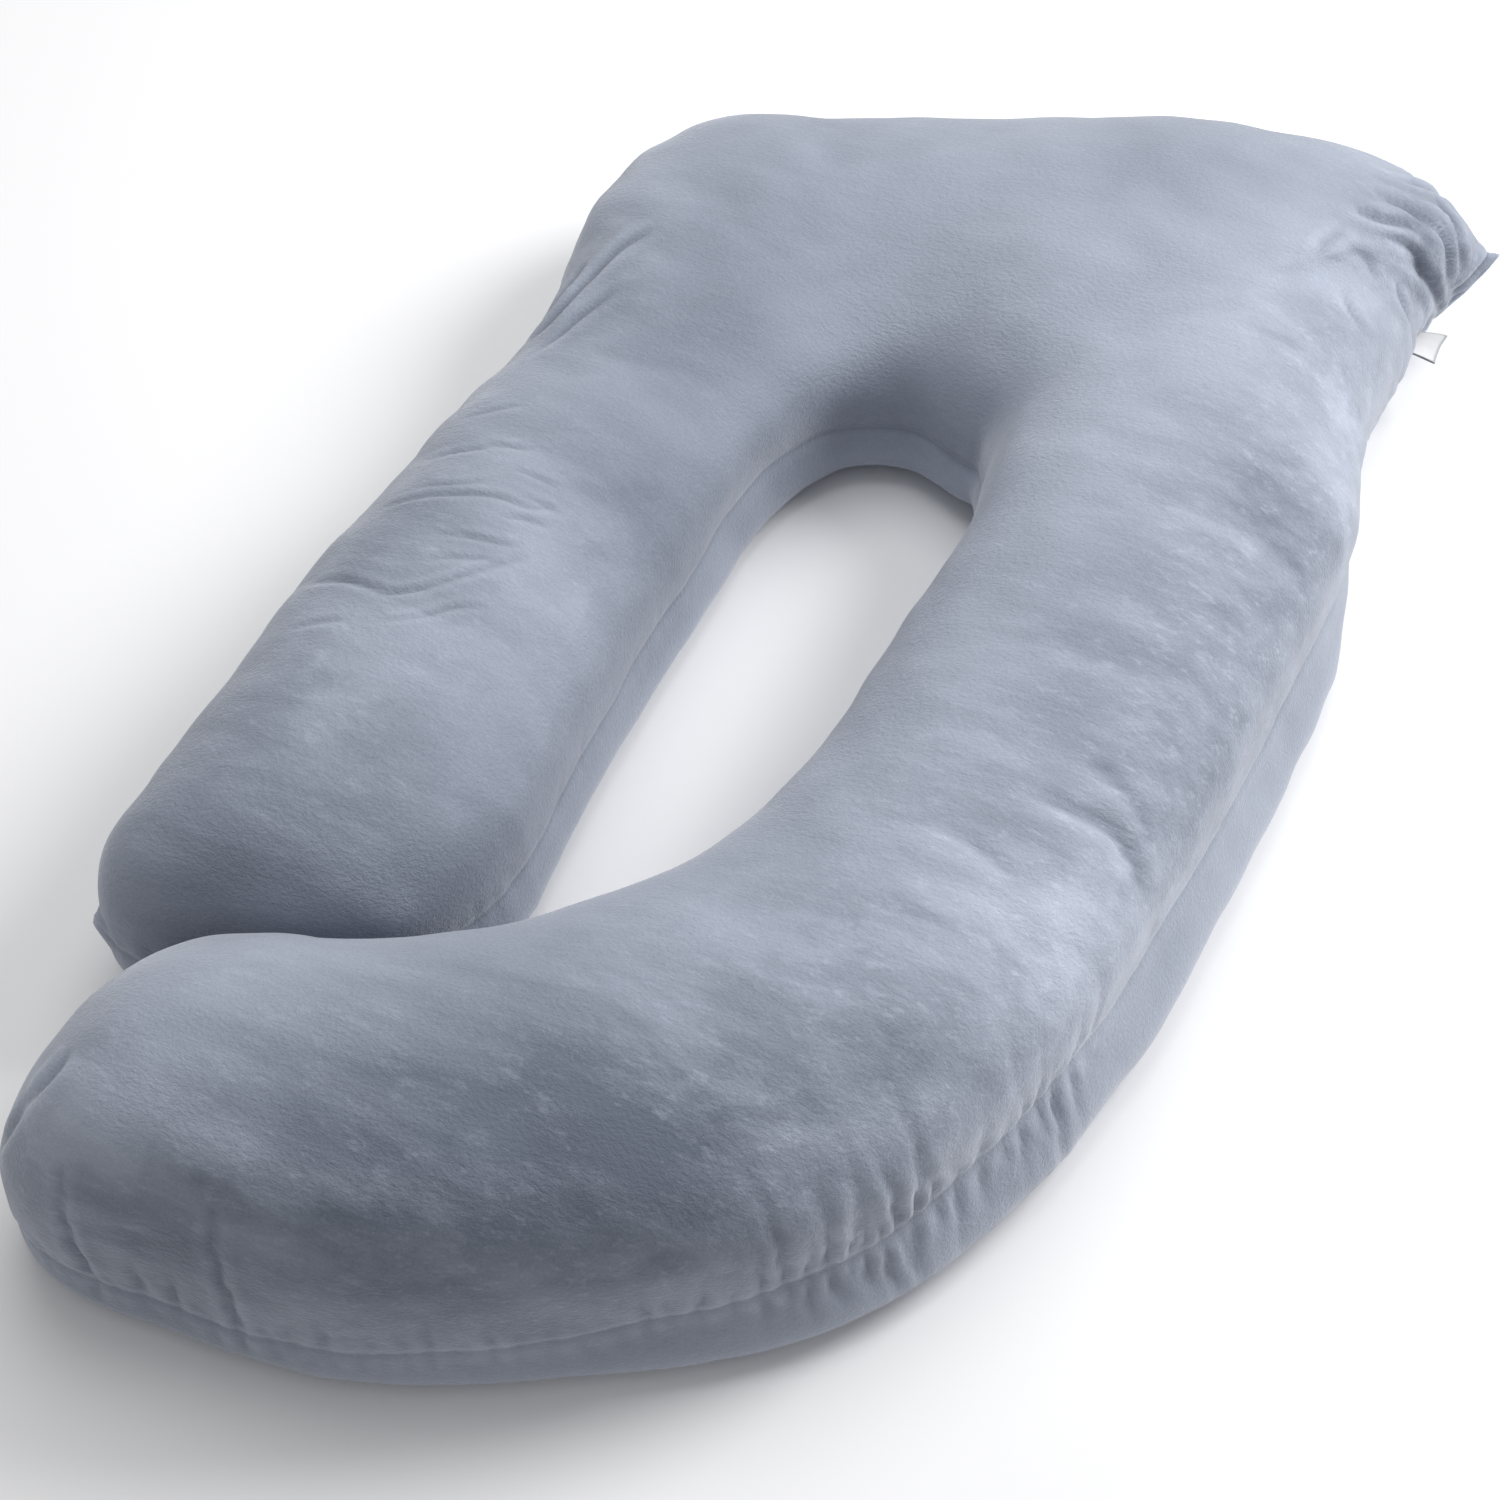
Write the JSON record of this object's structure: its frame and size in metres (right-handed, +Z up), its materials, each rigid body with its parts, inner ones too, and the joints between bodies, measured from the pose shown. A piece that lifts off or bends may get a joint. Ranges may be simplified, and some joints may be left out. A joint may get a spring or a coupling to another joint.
{
  "type": "pregnancy pillow",
  "caption": "Full-body velvet pregnancy pillow: a head bar with a short arm and a long arm that bends across below it, lying flat.",
  "frame": {"origin": "bottom centre of the pillow's box, on the surface it lies on", "axes": "+Z up through the pillow's thickness, +Y along it to the head bar, +X to the side of the long arm"},
  "size_m": [0.7853, 1.4469, 0.2304],
  "materials": {
    "velvet": "short-pile blue-grey velvet, brushed in cloudy patches, soft sheen at grazing edges",
    "satin": "white satin ribbon, blank, smooth with a faint lengthwise rib"
  },
  "bodies": {
    "root": {"pillow_body": "velvet", "side_label": "satin"}
  },
  "joints": []
}
